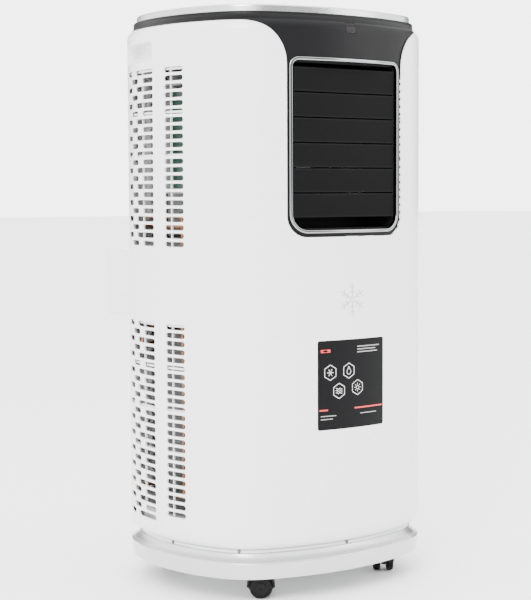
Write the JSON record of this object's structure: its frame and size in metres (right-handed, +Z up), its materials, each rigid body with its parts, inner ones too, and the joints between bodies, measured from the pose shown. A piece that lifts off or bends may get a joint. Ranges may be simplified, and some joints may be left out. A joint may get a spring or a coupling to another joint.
{
  "type": "portable air conditioner",
  "caption": "Floor-standing portable air conditioner: rounded case with a tilting-louvre outlet in front, side and rear vents, exhaust collar, drains and swivel casters.",
  "frame": {"origin": "on the floor, under the middle of the whole machine", "axes": "+Z up, the outlet and louvres face -Y, +X to the right when looking along +Y at the front"},
  "size_m": [0.43, 0.407, 0.842],
  "materials": {
    "white_plastic": "satin-gloss moulded",
    "black_plastic": "satin moulded",
    "silver_paint": "silver metallic paint",
    "chrome": "plated",
    "glossy_panel": "piano black",
    "key_plastic": "silver lacquer",
    "label_film": "printed film",
    "grey_plastic": "moulded",
    "fan_plastic": "moulded",
    "motor_steel": "zinc plated",
    "coil_aluminium": "mill finish fins",
    "compressor_paint": "black enamel",
    "copper": "drawn copper",
    "rubber": "matt",
    "filter_mesh": "woven nylon",
    "circuit_board": "solder mask",
    "capacitor_can": "drawn can",
    "caster_plastic": "nylon",
    "caster_tread": "polyurethane tread"
  },
  "bodies": {
    "case": {"front_shell": "white_plastic", "rear_shell": "white_plastic", "exhaust_collar": "white_plastic", "base_pan": "white_plastic", "top_cover": "black_plastic", "outlet_duct": "black_plastic", "base_ring": "silver_paint", "top_trim": "silver_paint", "outlet_bezel": "chrome", "control_panel": "glossy_panel", "receiver_window": "glossy_panel", "front_label": "label_film", "upper_scroll": "grey_plastic", "lower_scroll": "grey_plastic", "exhaust_duct": "grey_plastic", "mid_deck": "grey_plastic", "control_box": "grey_plastic", "swing_motor": "motor_steel", "upper_motor": "motor_steel", "lower_motor": "motor_steel", "case_screws": "motor_steel", "evaporator": "coil_aluminium", "condenser": "coil_aluminium", "compressor": "compressor_paint", "discharge_pipe": "copper", "suction_pipe": "copper", "liquid_pipe": "copper", "compressor_feet": "rubber", "cord_gland": "rubber", "circuit_board": "circuit_board", "run_capacitor": "capacitor_can"},
    "louvre_1": {"louvre_1": "black_plastic"},
    "louvre_2": {"louvre_2": "black_plastic"},
    "louvre_3": {"louvre_3": "black_plastic"},
    "louvre_4": {"louvre_4": "black_plastic"},
    "louvre_5": {"louvre_5": "black_plastic"},
    "louvre_6": {"louvre_6": "black_plastic"},
    "louvre_link": {"louvre_link": "grey_plastic"},
    "button_power": {"button_power": "key_plastic"},
    "button_mode": {"button_mode": "key_plastic"},
    "button_fan": {"button_fan": "key_plastic"},
    "button_timer": {"button_timer": "key_plastic"},
    "button_plus": {"button_plus": "key_plastic"},
    "button_minus": {"button_minus": "key_plastic"},
    "upper_blower": {"upper_blower": "fan_plastic"},
    "lower_blower": {"lower_blower": "fan_plastic"},
    "upper_grille": {"upper_grille": "white_plastic", "upper_filter": "filter_mesh"},
    "lower_grille": {"lower_grille": "white_plastic", "lower_filter": "filter_mesh"},
    "deck_drain_plug": {"deck_drain_plug": "rubber"},
    "base_drain_plug": {"base_drain_plug": "rubber"},
    "caster_fl": {"caster_fork_fl": "caster_plastic"},
    "caster_wheels_fl": {"caster_wheels_fl": "caster_tread"},
    "caster_fr": {"caster_fork_fr": "caster_plastic"},
    "caster_wheels_fr": {"caster_wheels_fr": "caster_tread"},
    "caster_rl": {"caster_fork_rl": "caster_plastic"},
    "caster_wheels_rl": {"caster_wheels_rl": "caster_tread"},
    "caster_rr": {"caster_fork_rr": "caster_plastic"},
    "caster_wheels_rr": {"caster_wheels_rr": "caster_tread"}
  },
  "joints": [
    {"name": "louvre_1_tilt", "type": "hinge", "parent": "case", "child": "louvre_1", "pos_m": [0, -0.1765, 0.5625], "axis": [1, 0, 0], "range_deg": [0, 60]},
    {"name": "louvre_2_tilt", "type": "hinge", "parent": "case", "child": "louvre_2", "pos_m": [0, -0.1765, 0.5979], "axis": [1, 0, 0], "range_deg": [0, 60]},
    {"name": "louvre_3_tilt", "type": "hinge", "parent": "case", "child": "louvre_3", "pos_m": [0, -0.1765, 0.6333], "axis": [1, 0, 0], "range_deg": [0, 60]},
    {"name": "louvre_4_tilt", "type": "hinge", "parent": "case", "child": "louvre_4", "pos_m": [0, -0.1765, 0.6687], "axis": [1, 0, 0], "range_deg": [0, 60]},
    {"name": "louvre_5_tilt", "type": "hinge", "parent": "case", "child": "louvre_5", "pos_m": [0, -0.1765, 0.7041], "axis": [1, 0, 0], "range_deg": [0, 60]},
    {"name": "louvre_6_tilt", "type": "hinge", "parent": "case", "child": "louvre_6", "pos_m": [0, -0.1765, 0.7395], "axis": [1, 0, 0], "range_deg": [0, 60]},
    {"name": "louvre_link_swing", "type": "hinge", "parent": "louvre_1", "child": "louvre_link", "pos_m": [0.1014, -0.1625, 0.5625], "axis": [1, 0, 0], "range_deg": [-60, 0]},
    {"name": "button_power_press", "type": "slide", "parent": "case", "child": "button_power", "axis": [0, 0, -1], "range_m": [0, 0.0008], "stiffness_N_per_m": 400},
    {"name": "button_mode_press", "type": "slide", "parent": "case", "child": "button_mode", "axis": [0, 0, -1], "range_m": [0, 0.0008], "stiffness_N_per_m": 400},
    {"name": "button_fan_press", "type": "slide", "parent": "case", "child": "button_fan", "axis": [0, 0, -1], "range_m": [0, 0.0008], "stiffness_N_per_m": 400},
    {"name": "button_timer_press", "type": "slide", "parent": "case", "child": "button_timer", "axis": [0, 0, -1], "range_m": [0, 0.0008], "stiffness_N_per_m": 400},
    {"name": "button_plus_press", "type": "slide", "parent": "case", "child": "button_plus", "axis": [0, 0, -1], "range_m": [0, 0.0008], "stiffness_N_per_m": 400},
    {"name": "button_minus_press", "type": "slide", "parent": "case", "child": "button_minus", "axis": [0, 0, -1], "range_m": [0, 0.0008], "stiffness_N_per_m": 400},
    {"name": "upper_fan_spin", "type": "hinge", "parent": "case", "child": "upper_blower", "pos_m": [0, -0.0215, 0.65], "axis": [1, 0, 0], "continuous": true},
    {"name": "lower_fan_spin", "type": "hinge", "parent": "case", "child": "lower_blower", "pos_m": [0.055, 0.0345, 0.24], "axis": [0, 1, 0], "continuous": true},
    {"name": "upper_grille_pull", "type": "slide", "parent": "case", "child": "upper_grille", "axis": [0, 1, 0], "range_m": [0, 0.04]},
    {"name": "lower_grille_pull", "type": "slide", "parent": "case", "child": "lower_grille", "axis": [0, 1, 0], "range_m": [0, 0.04]},
    {"name": "deck_drain_plug_pull", "type": "slide", "parent": "case", "child": "deck_drain_plug", "axis": [0, 1, 0], "range_m": [0, 0.02]},
    {"name": "base_drain_plug_pull", "type": "slide", "parent": "case", "child": "base_drain_plug", "axis": [0, 1, 0], "range_m": [0, 0.02]},
    {"name": "caster_fl_swivel", "type": "hinge", "parent": "case", "child": "caster_fl", "pos_m": [-0.125, -0.1265, 0.06], "axis": [0, 0, 1], "continuous": true},
    {"name": "caster_fl_roll", "type": "hinge", "parent": "caster_fl", "child": "caster_wheels_fl", "pos_m": [-0.11462, -0.13432, 0.017], "axis": [0.6018, 0.7986, 0], "continuous": true},
    {"name": "caster_fr_swivel", "type": "hinge", "parent": "case", "child": "caster_fr", "pos_m": [0.125, -0.1265, 0.06], "axis": [0, 0, 1], "continuous": true},
    {"name": "caster_fr_roll", "type": "hinge", "parent": "caster_fr", "child": "caster_wheels_fr", "pos_m": [0.13282, -0.11612, 0.017], "axis": [-0.7986, 0.6018, 0], "continuous": true},
    {"name": "caster_rl_swivel", "type": "hinge", "parent": "case", "child": "caster_rl", "pos_m": [-0.125, 0.0835, 0.06], "axis": [0, 0, 1], "continuous": true},
    {"name": "caster_rl_roll", "type": "hinge", "parent": "caster_rl", "child": "caster_wheels_rl", "pos_m": [-0.11278, 0.08795, 0.017], "axis": [-0.342, 0.9397, 0], "continuous": true},
    {"name": "caster_rr_swivel", "type": "hinge", "parent": "case", "child": "caster_rr", "pos_m": [0.125, 0.0835, 0.06], "axis": [0, 0, 1], "continuous": true},
    {"name": "caster_rr_roll", "type": "hinge", "parent": "caster_rr", "child": "caster_wheels_rr", "pos_m": [0.11951, 0.09528, 0.017], "axis": [-0.9063, -0.4226, 0], "continuous": true}
  ],
  "couplings": [
    {"joint": "louvre_2_tilt", "follows": "louvre_1_tilt", "ratio": 1},
    {"joint": "louvre_3_tilt", "follows": "louvre_1_tilt", "ratio": 1},
    {"joint": "louvre_4_tilt", "follows": "louvre_1_tilt", "ratio": 1},
    {"joint": "louvre_5_tilt", "follows": "louvre_1_tilt", "ratio": 1},
    {"joint": "louvre_6_tilt", "follows": "louvre_1_tilt", "ratio": 1},
    {"joint": "louvre_link_swing", "follows": "louvre_1_tilt", "ratio": -1}
  ]
}
